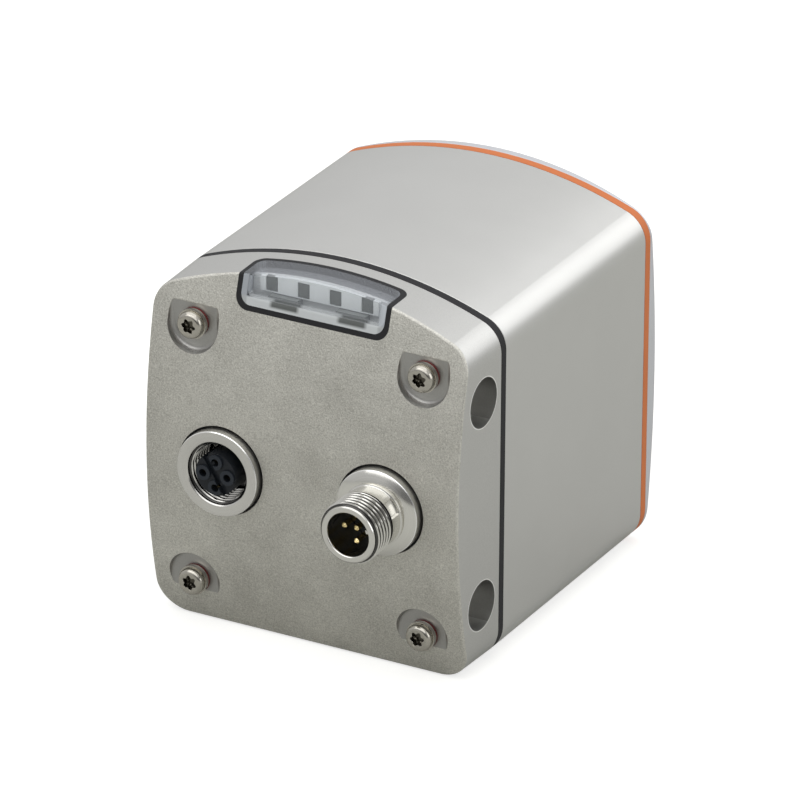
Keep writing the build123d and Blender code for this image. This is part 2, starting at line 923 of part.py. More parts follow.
def lens_retainer():
    outer = barrel_bore - lens_play
    inner = barrel_bore - lens_ring_wall
    return ring(0, optics_height, outer, inner, retainer_rear, retainer_rear + retainer_thickness)


def light_baffle():
    """A black tube that keeps the light of the emitters out of the lens."""
    front = glass_rear - baffle_gap
    return ring(0, optics_height, baffle_radius, baffle_radius - baffle_wall, chassis_front, front)


def emitter_board(side):
    return block(
        emitter_board_width,
        emitter_board_height,
        chassis_front,
        emitter_board_front,
        side * emitter_centre,
        optics_height,
    )


def emitters(side):
    front = emitter_board_front + emitter_depth
    return group(
        block(emitter_size, emitter_size, emitter_board_front, front, side * emitter_centre, z)
        for z in emitter_levels
    )


def emitter_reflector(side):
    """A frame with one conical opening for each emitter."""
    x = side * emitter_centre
    frame = block(
        emitter_board_width, emitter_board_height, emitter_board_front, reflector_front, x, optics_height
    )
    for z in emitter_levels:
        funnel = turned(
            x,
            z,
            [
                (0, emitter_board_front),
                (reflector_throat, emitter_board_front),
                (reflector_mouth, reflector_front),
                (0, reflector_front),
            ],
        )
        frame = frame - funnel
    return frame


def emitter_lens(side):
    """A clear bar in front of the reflector, with one low dome for each emitter."""
    x = side * emitter_centre
    front = reflector_front + emitter_lens_depth
    bar = block(emitter_board_width, emitter_board_height, reflector_front, front, x, optics_height)
    for z in emitter_levels:
        ball = Pos(x, front + lens_bulge - emitter_lens_radius, z) * Sphere(emitter_lens_radius)
        bar = bar + (ball & rod(x, z, reflector_mouth, front - small_gap, front + lens_bulge + past))
    return bar


def emitter_headers():
    """Plugs that lead from the sensor board through the chassis to the emitter boards."""
    return group(
        block(
            emitter_header_width,
            emitter_header_height,
            sensor_front,
            chassis_front,
            side * emitter_centre,
            optics_height,
        )
        for side in (-1, 1)
    )


nodes = {
    "rear_cap": rear_cap(),
    "rear_gasket": body_ring(cap_front, housing_rear),
    "main_housing": main_housing(),
    "front_seal": body_ring(housing_front, cover_rear),
    "front_cover": front_cover(),
    "front_window": front_window(),
    "front_window_seal": front_window_seal(),
    "cap_screws": cap_screws(),
    "screw_seals": screw_seals(),
    "status_window": status_window(),
    "status_window_gasket": status_window_gasket(),
    "led_board": led_board(),
    "status_leds": status_leds(),
    "led_frame": led_frame(),
    "led_drivers": led_drivers(),
    "status_flex": status_flex(),
    "plug_shell": plug_shell(),
    "plug_insert": plug_insert(),
    "plug_pins": plug_pins(),
    "plug_seal": connector_seal(1),
    "plug_nut": connector_nut(1),
    "socket_shell": socket_shell(),
    "socket_insert": socket_insert(),
    "socket_contacts": socket_contacts(),
    "socket_seal": connector_seal(-1),
    "socket_nut": connector_nut(-1),
    "interface_board": interface_board(),
    "interface_header": header(interface_front, processor_rear, optics_height + header_offset),
    "processor_board": processor_board(),
    "processor_chip": processor_chip(),
    "memory_chips": memory_chips(),
    "thermal_pad": thermal_pad(),
    "heat_spreader": heat_spreader(),
    "sensor_header": header(processor_front, sensor_rear, optics_height - header_offset),
    "sensor_board": sensor_board(),
    "rear_spacers": spacers(interface_front, processor_rear),
    "middle_spacers": spacers(processor_front, sensor_rear),
    "front_spacers": spacers(sensor_front, chassis_rear),
    "stack_screws": stack_screws(),
    "image_sensor": image_sensor(),
    "infrared_filter": infrared_filter(),
    "lens_holder": lens_holder(),
    "lens_barrel": lens_barrel(),
    "rear_lens": lens(rear_lens_rear),
    "middle_lens": lens(middle_lens_rear),
    "front_lens": lens(front_lens_rear),
    "lens_spacers": lens_spacers(),
    "lens_retainer": lens_retainer(),
    "light_baffle": light_baffle(),
    "optics_chassis": optics_chassis(),
    "chassis_screws": chassis_screws(),
    "emitter_headers": emitter_headers(),
}
for label, side in (("left", -1), ("right", 1)):
    nodes[f"emitter_board_{label}"] = emitter_board(side)
    nodes[f"emitters_{label}"] = emitters(side)
    nodes[f"emitter_reflector_{label}"] = emitter_reflector(side)
    nodes[f"emitter_lens_{label}"] = emitter_lens(side)

for node, solid in nodes.items():
    save(node, solid)
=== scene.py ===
"""Looks of a time-of-flight camera seen from behind: a finish for every part, and detailed meshes
for the two threaded connector shells and the cap screws. Metres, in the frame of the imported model."""
import json
from math import cos, pi, radians, sin

import bmesh
import bpy
from mathutils import Matrix, Vector


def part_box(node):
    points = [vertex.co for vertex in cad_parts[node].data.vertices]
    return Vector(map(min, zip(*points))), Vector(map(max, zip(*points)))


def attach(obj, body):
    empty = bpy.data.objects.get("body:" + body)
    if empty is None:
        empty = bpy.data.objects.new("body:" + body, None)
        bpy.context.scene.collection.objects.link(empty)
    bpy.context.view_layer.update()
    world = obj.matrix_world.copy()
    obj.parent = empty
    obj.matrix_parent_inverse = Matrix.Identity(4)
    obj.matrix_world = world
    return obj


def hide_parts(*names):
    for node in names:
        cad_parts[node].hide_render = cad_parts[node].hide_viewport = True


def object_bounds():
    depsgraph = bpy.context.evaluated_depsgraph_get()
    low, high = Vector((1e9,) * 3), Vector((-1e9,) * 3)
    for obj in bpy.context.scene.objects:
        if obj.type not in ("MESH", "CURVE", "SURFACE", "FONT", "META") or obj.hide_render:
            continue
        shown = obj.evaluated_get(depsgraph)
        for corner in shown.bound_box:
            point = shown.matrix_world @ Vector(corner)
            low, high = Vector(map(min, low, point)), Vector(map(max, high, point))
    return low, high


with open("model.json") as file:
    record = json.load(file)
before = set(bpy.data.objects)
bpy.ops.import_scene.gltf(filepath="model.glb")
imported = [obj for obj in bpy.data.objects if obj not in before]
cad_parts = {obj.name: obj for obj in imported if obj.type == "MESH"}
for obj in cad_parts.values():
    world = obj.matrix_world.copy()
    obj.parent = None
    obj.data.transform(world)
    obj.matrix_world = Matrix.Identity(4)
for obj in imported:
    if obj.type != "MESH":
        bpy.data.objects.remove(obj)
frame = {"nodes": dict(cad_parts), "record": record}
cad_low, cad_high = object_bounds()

MM = 0.001
nodes = frame["nodes"]

# The camera's place, fitted to the outline in the photo
view_azimuth = radians(28.576)
view_elevation = radians(24.785)
view_roll = radians(0.377)
view_distance = 1603.68 * MM
view_target = Vector((-3.07, 10.37, 32.87)) * MM
view_lens = 393.27

# Studio: the point that the lamps face, the side that the photo was taken from, and the floor's half
# width, its gap under the object and what it sends out by itself
lamp_aim = Vector((0, 0, 0.04))
photo_side = Vector((0.45, -0.89))
floor_half = 3.0
floor_gap = 0.02 * MM
floor_lift = 0.68

# Connectors, in millimetres
plug_reach = 10.5
flange_radius = 8.27
flange_bevel = 0.15
flange_thickness = 2.6
neck_radius = 7.0
thread_pitch = 1.0
plug_thread_radius = 6.0
plug_thread_root = 5.42
plug_thread_length = 6.2
plug_neck_radius = 5.8
plug_mouth_radius = 4.17
plug_tip_radius = 5.28
plug_key_depth = 0.4
plug_flat_depth = 0.3
socket_depth = 8.5
socket_mouth_radius = 6.27
socket_minor_radius = 5.45
socket_major_radius = 6.05
insert_radius = 4.1
insert_play = 0.07
collar_reach = 0.2

# Where the key and the flats of the plug lie round its axis, in degrees, and half their width
plug_key_angle = 20
plug_key_half = 7
plug_flat_angle = 33
plug_flat_half = 15

# The flanks of a thread, in half pitches from the middle of its crest: their foot and their width
flank_foot = 0.75
flank_width = 0.62

# How many corners go round a mesh
shell_corners = 144
screw_corners = 72

# Cap screws, in millimetres
screw_head_radius = 2.8
screw_head_height = 2.4
screw_radius = 1.5
screw_length = 24.0
lobe_radius = 1.22
lobe_depth = 0.2
recess_floor = 0.28
# recess_reach and recess_rim bound the painted shade inside the recesses
recess_reach = 1.48
recess_rim = 0.12

# How far the recess of the first screw is turned, and each next one further, in radians
recess_turn = 0.35
recess_turn_step = 0.8

# Status window, in millimetres: its lower rim, the two dark pads seen in it, and its clear ends
rim_height = 1.75
pad_middle = 1.2
pad_centre = 6.9
pad_half_width = 3.0
cheek = 13.4
cheek_blend = 0.2
rim_blend = 0.3

# How much each region of the window covers what lies behind it, from 0 to 1
glass_cover = 0.1
rim_cover = 0.8
cheek_cover = 0.6
crown_cover = 0.36

# The back of the cap, in metres: its round from top to bottom, how deep the blasting reaches
# over the edges, and how far the screw pockets reach from the screws
back_radius = 117.8 * MM
back_height = 34.8 * MM
blast_depth = 0.4 * MM
pocket_blast_depth = 0.1 * MM
pocket_reach = 6.6 * MM

# Side bores of the cap, in metres, and the width of the painted highlight round their edges
bore_radius = 4.75 * MM
bore_from_gasket = 7.24 * MM
bore_low = 13.91 * MM
bore_high = 54.0 * MM
bore_highlight_width = 0.2 * MM

# Turning marks on the connectors, in metres
turning_mark = 0.16 * MM

# Colours: a grain mixes the two of a pair called tones, and a shade is a factor on a colour
blasted_tones = ((0.39, 0.381, 0.347), (0.87, 0.86, 0.80))
satin_tones = ((0.58, 0.58, 0.565), (0.64, 0.64, 0.625))
# Painted shade on the floors of the screw pockets
pocket_shade_tones = ((0.40, 0.395, 0.38), (0.45, 0.445, 0.43))
window_tones = ((0.60, 0.64, 0.69), (0.64, 0.68, 0.73))
core_tones = ((0.008, 0.010, 0.013), (0.013, 0.016, 0.021))
steel_tones = ((0.47, 0.45, 0.40), (0.55, 0.525, 0.47))
floor_tones = ((0.46, 0.46, 0.438), (0.49, 0.49, 0.465))
# Painted highlight round the edges of the side bores
bore_highlight_color = (0.98, 0.98, 0.96)
# Painted highlight on the bevel of the connector flanges
bevel_highlight_color = (0.97, 0.97, 0.95)
window_crown_color = (0.37, 0.39, 0.42)
window_rim_color = (0.70, 0.73, 0.74)
pad_color = (0.15, 0.16, 0.155)
collar_color = (0.021, 0.026, 0.034)
# Painted shade inside the recesses of the cap screws
recess_shade_color = (0.10, 0.092, 0.075)
flange_side_shade = 0.75
# Painted shade in the thread grooves of the connectors, as a factor on their colour
painted_groove_shade = 0.12


def centre(name):
    low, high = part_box(name)
    return (low + high) / 2


# Materials

def new_material(name):
    material = bpy.data.materials.new(name)
    material.use_nodes = True
    return material, material.node_tree, material.node_tree.nodes["Principled BSDF"]


def node(tree, kind, **settings):
    made = tree.nodes.new(kind)
    for key, value in settings.items():
        setattr(made, key, value)
    return made


def calc(tree, operation, first, second=0.0, clamp=False):
    made = node(tree, "ShaderNodeMath", operation=operation, use_clamp=clamp)
    for socket, value in zip(made.inputs, (first, second)):
        if isinstance(value, (int, float)):
            socket.default_value = value
        else:
            tree.links.new(value, socket)
    return made.outputs[0]


def place(tree):
    return node(tree, "ShaderNodeTexCoord").outputs["Object"]


def separated(tree, vector):
    """X, Y and Z of a vector."""
    axes = node(tree, "ShaderNodeSeparateXYZ")
    tree.links.new(vector, axes.inputs[0])
    return axes.outputs


def coordinates(tree):
    """X, Y and Z of the point that is shaded."""
    return separated(tree, place(tree))


def facing(tree):
    """X, Y and Z of the surface's normal."""
    return separated(tree, node(tree, "ShaderNodeNewGeometry").outputs["Normal"])


def noise(tree, size, detail=2.0, roughness=0.5, vector=None):
    """Noise whose grains are about size metres wide, from 0 to 1."""
    made = node(tree, "ShaderNodeTexNoise")
    made.inputs["Scale"].default_value = 1 / size
    made.inputs["Detail"].default_value = detail
    made.inputs["Roughness"].default_value = roughness
    tree.links.new(place(tree) if vector is None else vector, made.inputs["Vector"])
    return made.outputs["Fac"]


def spread(tree, value, low, high):
    """Maps the middle half of a noise on to the range from low to high."""
    made = node(tree, "ShaderNodeMapRange")
    made.inputs["From Min"].default_value = 0.25
    made.inputs["From Max"].default_value = 0.75
    made.inputs["To Min"].default_value = low
    made.inputs["To Max"].default_value = high
    tree.links.new(value, made.inputs["Value"])
    return made.outputs["Result"]


def ramp(tree, value, source, target):
    """Maps the range source of a value on to the range target."""
    made = node(tree, "ShaderNodeMapRange")
    for key, limit in zip(("From Min", "From Max", "To Min", "To Max"), (*source, *target)):
        made.inputs[key].default_value = limit
    tree.links.new(value, made.inputs["Value"])
    return made.outputs["Result"]


def within(tree, value, low, high):
    """1 where a value lies between low and high, and 0 elsewhere."""
    above = calc(tree, "GREATER_THAN", value, low)
    return calc(tree, "MULTIPLY", above, calc(tree, "LESS_THAN", value, high))


def to_nearest(tree, value, first, second):
    """The distance from a value to the nearer of two others."""
    to_first = calc(tree, "ABSOLUTE", calc(tree, "SUBTRACT", value, first))
    to_second = calc(tree, "ABSOLUTE", calc(tree, "SUBTRACT", value, second))
    return calc(tree, "MINIMUM", to_first, to_second)


def from_axis(tree, across, rise):
    """The distance from an axis, from the distances across it and up from it."""
    squares = calc(tree, "ADD", calc(tree, "MULTIPLY", across, across), calc(tree, "MULTIPLY", rise, rise))
    return calc(tree, "SQRT", squares)


def mix_colors(tree, factor, first, second):
    made = node(tree, "ShaderNodeMix", data_type="RGBA")
    tree.links.new(factor, made.inputs["Factor"])
    for socket, value in ((made.inputs["A"], first), (made.inputs["B"], second)):
        if isinstance(value, tuple):
            socket.default_value = (*value, 1.0)
        else:
            tree.links.new(value, socket)
    return made.outputs["Result"]


def mix_values(tree, factor, first, second):
    made = node(tree, "ShaderNodeMix", data_type="FLOAT")
    for key, value in (("Factor", factor), ("A", first), ("B", second)):
        if isinstance(value, (int, float)):
            made.inputs[key].default_value = value
        else:
            tree.links.new(value, made.inputs[key])
    return made.outputs["Result"]


def bump(tree, shader, height, distance):
    made = node(tree, "ShaderNodeBump")
    made.inputs["Distance"].default_value = distance
    tree.links.new(height, made.inputs["Height"])
    tree.links.new(made.outputs["Normal"], shader.inputs["Normal"])


def shade(color, factor):
    return tuple(min(1.0, channel * factor) for channel in color)


def grained(
    name, color, metallic=0.0, roughness=0.5, grain=0.3 * MM, mottle=0.06, relief=0.01 * MM, **sockets
):
    """A finish whose colour, roughness and height vary with a fine grain and a broad one."""
    material, tree, shader = new_material(name)
    fine = noise(tree, grain, detail=3.0)
    broad = noise(tree, 14 * MM, detail=2.0)
    both = calc(tree, "ADD", calc(tree, "MULTIPLY", fine, 0.6), calc(tree, "MULTIPLY", broad, 0.4))
    factor = spread(tree, both, 0.0, 1.0)
    tint = mix_colors(tree, factor, shade(color, 1 - mottle), shade(color, 1 + mottle))
    tree.links.new(tint, shader.inputs["Base Color"])
    rough = spread(tree, fine, roughness * 0.88, roughness * 1.12)
    tree.links.new(rough, shader.inputs["Roughness"])
    shader.inputs["Metallic"].default_value = metallic
    for key, value in sockets.items():
        shader.inputs[key.replace("_", " ")].default_value = value
    bump(tree, shader, fine, relief)
    return material


def from_screws(tree, axes):
    """The distance from the axis of the nearest cap screw."""
    low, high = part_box("cap_screws")
    half = screw_head_radius * MM
    across = calc(tree, "SUBTRACT", calc(tree, "ABSOLUTE", axes["X"]), high.x - half)
    return from_axis(tree, across, to_nearest(tree, axes["Z"], low.z + half, high.z - half))


def from_side_bores(tree, axes):
    """The distance from the axis of the nearest side bore."""
    along = calc(tree, "SUBTRACT", axes["Y"], centre("rear_gasket").y - bore_from_gasket)
    return from_axis(tree, along, to_nearest(tree, axes["Z"], bore_low, bore_high))


def below_back(tree, axes):
    """The depth below the domed back of the cap."""
    rise = calc(tree, "SUBTRACT", axes["Z"], back_height)
    round_off = calc(tree, "DIVIDE", calc(tree, "MULTIPLY", rise, rise), 2 * back_radius)
    below_peak = calc(tree, "SUBTRACT", axes["Y"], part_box("rear_cap")[0].y)
    return calc(tree, "SUBTRACT", below_peak, round_off)


def blasted_cap():
    """The cap: bead-blasted on its domed back, satin in the pockets and on the sides, with painted shade
    on the floors of the pockets and a painted highlight round the edges of the side bores."""
    material, tree, shader = new_material("blasted_metal")
    axes = coordinates(tree)
    by_screw = calc(tree, "LESS_THAN", from_screws(tree, axes), pocket_reach)
    limit = mix_values(tree, by_screw, blast_depth, pocket_blast_depth)
    satin = calc(tree, "GREATER_THAN", below_back(tree, axes), limit)
    speck = noise(tree, 0.28 * MM, detail=2.0, roughness=0.7)
    cloud = noise(tree, 9 * MM, detail=2.0)
    both = calc(tree, "ADD", calc(tree, "MULTIPLY", speck, 0.75), calc(tree, "MULTIPLY", cloud, 0.25))
    grit = mix_colors(tree, spread(tree, both, 0.0, 1.0), *blasted_tones)
    smooth_grain = spread(tree, noise(tree, 0.25 * MM, detail=2.0), 0.0, 1.0)
    smooth = mix_colors(tree, smooth_grain, *satin_tones)
    # Painted shade: the floors of the screw pockets are darker
    pocket_floor = calc(tree, "LESS_THAN", facing(tree)["Y"], -0.5)
    smooth = mix_colors(tree, pocket_floor, smooth, mix_colors(tree, smooth_grain, *pocket_shade_tones))
    from_bore = from_side_bores(tree, axes)
    # Painted highlight: a bright band round the edges of the side bores
    edge = within(tree, from_bore, bore_radius + 0.01 * MM, bore_radius + bore_highlight_width)
    smooth = mix_colors(tree, edge, smooth, bore_highlight_color)
    tree.links.new(mix_colors(tree, satin, grit, smooth), shader.inputs["Base Color"])
    tree.links.new(mix_values(tree, satin, 0.55, 0.4), shader.inputs["Roughness"])
    shader.inputs["Metallic"].default_value = 1.0
    rough_height = calc(tree, "MULTIPLY", speck, mix_values(tree, satin, 1.0, 0.06))
    bump(tree, shader, rough_height, 0.08 * MM)
    return material


def turned_metal(name, color, roughness, axis, thread, groove):
    """Plated metal with faint turning marks about an axis along Y. It has painted shade in the grooves of
    its thread, given as a range of stations and one of radii, a painted highlight on the bevel of its
    flange, and it is darker and rougher on the side of its flange."""
    material, tree, shader = new_material(name)
    axes = coordinates(tree)
    across = calc(tree, "SUBTRACT", axes["X"], axis.x)
    rise = calc(tree, "SUBTRACT", axes["Z"], axis.z)
    radius = from_axis(tree, across, rise)
    section = node(tree, "ShaderNodeCombineXYZ")
    tree.links.new(radius, section.inputs["X"])
    tree.links.new(axes["Y"], section.inputs["Y"])
    line = noise(tree, turning_mark, vector=section.outputs[0])
    tint = mix_colors(tree, spread(tree, line, 0.0, 1.0), shade(color, 0.95), shade(color, 1.05))
    side = calc(tree, "GREATER_THAN", radius, (flange_radius - 0.05) * MM)
    tint = mix_colors(tree, side, tint, shade(color, flange_side_shade))
    # Painted highlight: a bright band on the bevel of the flange
    painted_bevel = within(tree, radius, (flange_radius - flange_bevel) * MM, (flange_radius - 0.02) * MM)
    tint = mix_colors(tree, painted_bevel, tint, bevel_highlight_color)
    # Painted shade in the grooves of the thread
    along = within(tree, axes["Y"], thread[0] * MM, thread[1] * MM)
    sunk = calc(tree, "MULTIPLY", along, within(tree, radius, groove[0] * MM, groove[1] * MM))
    tint = mix_colors(tree, sunk, tint, shade(color, painted_groove_shade))
    tree.links.new(tint, shader.inputs["Base Color"])
    rough = spread(tree, line, roughness * 0.85, roughness * 1.2)
    tree.links.new(mix_values(tree, side, rough, 0.4), shader.inputs["Roughness"])
    shader.inputs["Metallic"].default_value = 1.0
    bump(tree, shader, line, 0.004 * MM)
    return material


def clear_window():
    """Clear plastic: bluish on the crown, and pale with two dark pads in its lower rim."""
    material, tree, shader = new_material("clear_plastic")
    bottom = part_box("status_window")[0].z
    axes = coordinates(tree)
    crown = ramp(tree, facing(tree)["Z"], (0.5, 0.8), (0.0, 1.0))
    rim_top = bottom + rim_height * MM
    rim = ramp(tree, axes["Z"], (rim_top, rim_top - rim_blend * MM), (0.0, 1.0))
    aside = calc(tree, "ABSOLUTE", calc(tree, "SUBTRACT", axes["X"], pad_middle * MM))
    beside = calc(tree, "ABSOLUTE", calc(tree, "SUBTRACT", aside, pad_centre * MM))
    pad_edge = ((pad_half_width + 0.2) * MM, (pad_half_width - 0.6) * MM)
    across = ramp(tree, beside, pad_edge, (0.0, 1.0))
    above = ramp(tree, axes["Z"], (bottom + 0.3 * MM, bottom + 0.75 * MM), (0.0, 1.0))
    pad = calc(tree, "MULTIPLY", calc(tree, "MULTIPLY", across, above), rim)
    outward = calc(tree, "ABSOLUTE", axes["X"])
    cheek_edge = ((cheek - cheek_blend) * MM, (cheek + cheek_blend) * MM)
    ends = ramp(tree, outward, cheek_edge, (0.0, 1.0))
    cloud = spread(tree, noise(tree, 2 * MM, detail=3.0), 0.0, 1.0)
    clear = mix_colors(tree, cloud, *window_tones)
    clear = mix_colors(tree, crown, clear, window_crown_color)
    tint = mix_colors(tree, rim, clear, window_rim_color)
    tree.links.new(mix_colors(tree, pad, tint, pad_color), shader.inputs["Base Color"])
    cover = mix_values(tree, rim, glass_cover, rim_cover)
    cover = mix_values(tree, ends, cover, cheek_cover)
    cover = mix_values(tree, crown, cover, crown_cover)
    tree.links.new(cover, shader.inputs["Alpha"])
    tree.links.new(spread(tree, cloud, 0.1, 0.2), shader.inputs["Roughness"])
    shader.inputs["IOR"].default_value = 1.49
    return material


def core_plastic():
    """Black plastic of the socket's core, lighter on the collars round the contacts."""
    material, tree, shader = new_material("core_plastic")
    collar_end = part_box("socket_insert")[0].y + collar_reach * MM
    collar = calc(tree, "LESS_THAN", coordinates(tree)["Y"], collar_end)
    grain = spread(tree, noise(tree, 0.25 * MM, detail=3.0), 0.0, 1.0)
    face = mix_colors(tree, grain, *core_tones)
    tree.links.new(mix_colors(tree, collar, face, collar_color), shader.inputs["Base Color"])
    tree.links.new(spread(tree, grain, 0.36, 0.46), shader.inputs["Roughness"])
    shader.inputs["Specular IOR Level"].default_value = 0.3
    bump(tree, shader, grain, 0.01 * MM)
    return material


def screw_steel():
    """Steel with painted shade inside the six-lobed recesses of the cap screws."""
    material, tree, shader = new_material("screw_steel")
    axes = coordinates(tree)
    # Painted shade inside the recesses
    inside = calc(tree, "LESS_THAN", from_screws(tree, axes), recess_reach * MM)
    sunk = calc(tree, "GREATER_THAN", axes["Y"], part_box("cap_screws")[0].y + recess_rim * MM)
    recess_shade = calc(tree, "MULTIPLY", inside, sunk)
    grain = noise(tree, 0.3 * MM, detail=3.0)
    steel = mix_colors(tree, spread(tree, grain, 0.0, 1.0), *steel_tones)
    tree.links.new(mix_colors(tree, recess_shade, steel, recess_shade_color), shader.inputs["Base Color"])
    tree.links.new(spread(tree, grain, 0.14, 0.2), shader.inputs["Roughness"])
    shader.inputs["Metallic"].default_value = 1.0
    bump(tree, shader, grain, 0.004 * MM)
    return material


def circuit_board(name, color, copper):
    """Solder mask with faint tracks under it."""
    material, tree, shader = new_material(name)
    tracks = node(tree, "ShaderNodeTexBrick")
    tracks.inputs["Scale"].default_value = 260
    tracks.inputs["Mortar Size"].default_value = 0.06
    for key in ("Color1", "Color2"):
        tracks.inputs[key].default_value = (*color, 1.0)
    tracks.inputs["Mortar"].default_value = (*copper, 1.0)
    turned = node(tree, "ShaderNodeMapping")
    turned.inputs["Rotation"].default_value = (pi / 2, 0, 0)
    tree.links.new(place(tree), turned.inputs["Vector"])
    tree.links.new(turned.outputs[0], tracks.inputs["Vector"])
    tree.links.new(tracks.outputs["Color"], shader.inputs["Base Color"])
    rough = spread(tree, noise(tree, 0.5 * MM), 0.3, 0.42)
    tree.links.new(rough, shader.inputs["Roughness"])
    bump(tree, shader, tracks.outputs["Fac"], 0.02 * MM)
    return material


finishes = {
    "blasted_metal": blasted_cap(),
    "satin_metal": grained(
        "satin_metal", (0.67, 0.67, 0.655), 1.0, 0.4, grain=0.22 * MM, mottle=0.035, relief=0.004 * MM
    ),
    "pale_metal": grained(
        "pale_metal", (0.63, 0.64, 0.67), 0.5, 0.42, grain=0.22 * MM, mottle=0.03, relief=0.004 * MM
    ),
    "machined_metal": grained("machined_metal", (0.62, 0.63, 0.64), 1.0, 0.3, grain=0.2 * MM),
    "nickel": grained("nickel", (0.74, 0.73, 0.69), 1.0, 0.22, grain=0.2 * MM, relief=0.003 * MM),
    "steel": grained("steel", (0.66, 0.63, 0.57), 1.0, 0.2, grain=0.3 * MM, relief=0.004 * MM),
    "gold": grained("gold", (1.0, 0.80, 0.42), 1.0, 0.2, grain=0.15 * MM, relief=0.002 * MM),
    "black_rubber": grained(
        "black_rubber", (0.016, 0.016, 0.018), roughness=0.65, grain=0.2 * MM, mottle=0.2,
        Specular_IOR_Level=0.3,
    ),
    "orange_rubber": grained("orange_rubber", (0.60, 0.165, 0.042), roughness=0.6, grain=0.3 * MM),
    "red_seal": grained("red_seal", (0.13, 0.008, 0.008), roughness=0.5, grain=0.2 * MM),
    "thermal": grained("thermal", (0.35, 0.42, 0.5), roughness=0.8, grain=0.3 * MM),
    "clear_plastic": clear_window(),
    "window_glass": grained(
        "window_glass", (0.045, 0.02, 0.03), roughness=0.06, grain=4 * MM, mottle=0.05, relief=0.001 * MM,
        Alpha=0.86, IOR=1.52,
    ),
    "lens_glass": grained(
        "lens_glass", (0.35, 0.42, 0.5), roughness=0.04, grain=4 * MM, mottle=0.05, relief=0.001 * MM,
        Alpha=0.4, IOR=1.6,
    ),
    "black_plastic": grained(
        "black_plastic", (0.010, 0.011, 0.013), roughness=0.42, grain=0.25 * MM, mottle=0.2,
        Specular_IOR_Level=0.3,
    ),
    "core_plastic": core_plastic(),
    "black_metal": grained("black_metal", (0.02, 0.02, 0.02), 0.3, 0.45, grain=0.25 * MM),
    "white_plastic": grained(
        "white_plastic", (0.80, 0.84, 0.86), roughness=0.45, grain=0.3 * MM, mottle=0.03
    ),
    "grey_plastic": grained("grey_plastic", (0.22, 0.235, 0.23), roughness=0.6, grain=0.3 * MM),
    "board": circuit_board("board", (0.02, 0.12, 0.06), (0.05, 0.2, 0.08)),
    "pale_board": circuit_board("pale_board", (0.68, 0.71, 0.72), (0.72, 0.74, 0.75)),
    "chip": grained("chip", (0.035, 0.036, 0.038), roughness=0.5, grain=0.15 * MM, mottle=0.15),
    "light": grained("light", (0.10, 0.11, 0.105), roughness=0.35, grain=0.3 * MM),
    "flex": grained("flex", (0.42, 0.2, 0.04), roughness=0.35, grain=0.6 * MM),
}


def dress(name, key):
    """Gives a part that is kept as it is its finish."""
    slots = nodes[name].data.materials
    slots.clear()
    slots.append(finishes[key])


record_slots = {part["node"]: part["material_slot"] for part in frame["record"]["subparts"]}
for name in nodes:
    dress(name, record_slots[name])
dress("led_board", "pale_board")
dress("front_cover", "pale_metal")
dress("led_drivers", "grey_plastic")
dress("socket_insert", "core_plastic")


# Meshes

def piece(name, parts, material, replaced, sharp=32):
    """A mesh of one or more (vertices, faces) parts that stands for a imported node."""
    made = bmesh.new()
    for points, faces in parts:
        corners = [made.verts.new(point) for point in points]
        for face in faces:
            made.faces.new([corners[i] for i in face])
    bmesh.ops.recalc_face_normals(made, faces=made.faces)
    mesh = bpy.data.meshes.new(name)
    made.to_mesh(mesh)
    made.free()
    mesh.shade_smooth()
    mesh.set_sharp_from_angle(angle=radians(sharp))
    mesh.materials.append(material)
    shown = bpy.data.objects.new(name, mesh)
    bpy.context.scene.collection.objects.link(shown)
    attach(shown, "root")
    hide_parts(replaced)
    return shown


def lathe(x, z, rings, turns=96, ends=False):
    """Rings about an axis along Y, from (radius, station) in millimetres. A radius or a station may
    be a function of the angle. The last ring joins the first, or both are closed if ends is set."""
    points = []
    for radius, station in rings:
        for i in range(turns):
            angle = 2 * pi * i / turns
            r = radius(angle) if callable(radius) else radius
            y = station(angle) if callable(station) else station
            points.append((x + r * MM * cos(angle), y * MM, z + r * MM * sin(angle)))
    count = len(rings)
    bands = count - 1 if ends else count
    faces = []
    for k in range(bands):
        first, second = k * turns, (k + 1) % count * turns
        for i in range(turns):
            j = (i + 1) % turns
            faces.append((first + i, first + j, second + j, second + i))
    if ends:
        faces.append(tuple(range(turns)))
        faces.append(tuple(range((count - 1) * turns, count * turns)))
    return points, faces


def thread_rings(root, crest, start, end, steps=14):
    """Rings of a right-hand thread, steps to a pitch, that fades out over half a turn at each end."""
    count = round(abs(end - start) / thread_pitch * steps)
    fade = thread_pitch / 2

    def ring_at(y):
        edge = min(1.0, abs(y - start) / fade, abs(end - y) / fade)

        def radius(angle):
            phase = (y / thread_pitch + angle / (2 * pi)) % 1
            height = (flank_foot - 2 * abs(phase - 0.5)) / flank_width
            return root + (crest - root) * max(0.0, min(1.0, height)) * edge

        return radius, y

    return [ring_at(start + (end - start) * k / count) for k in range(count + 1)]


def near(angle, middle, half):
    """Whether an angle in radians lies within half of middle, both in degrees."""
    gap = (angle * 180 / pi - middle + 180) % 360 - 180
    return abs(gap) < half


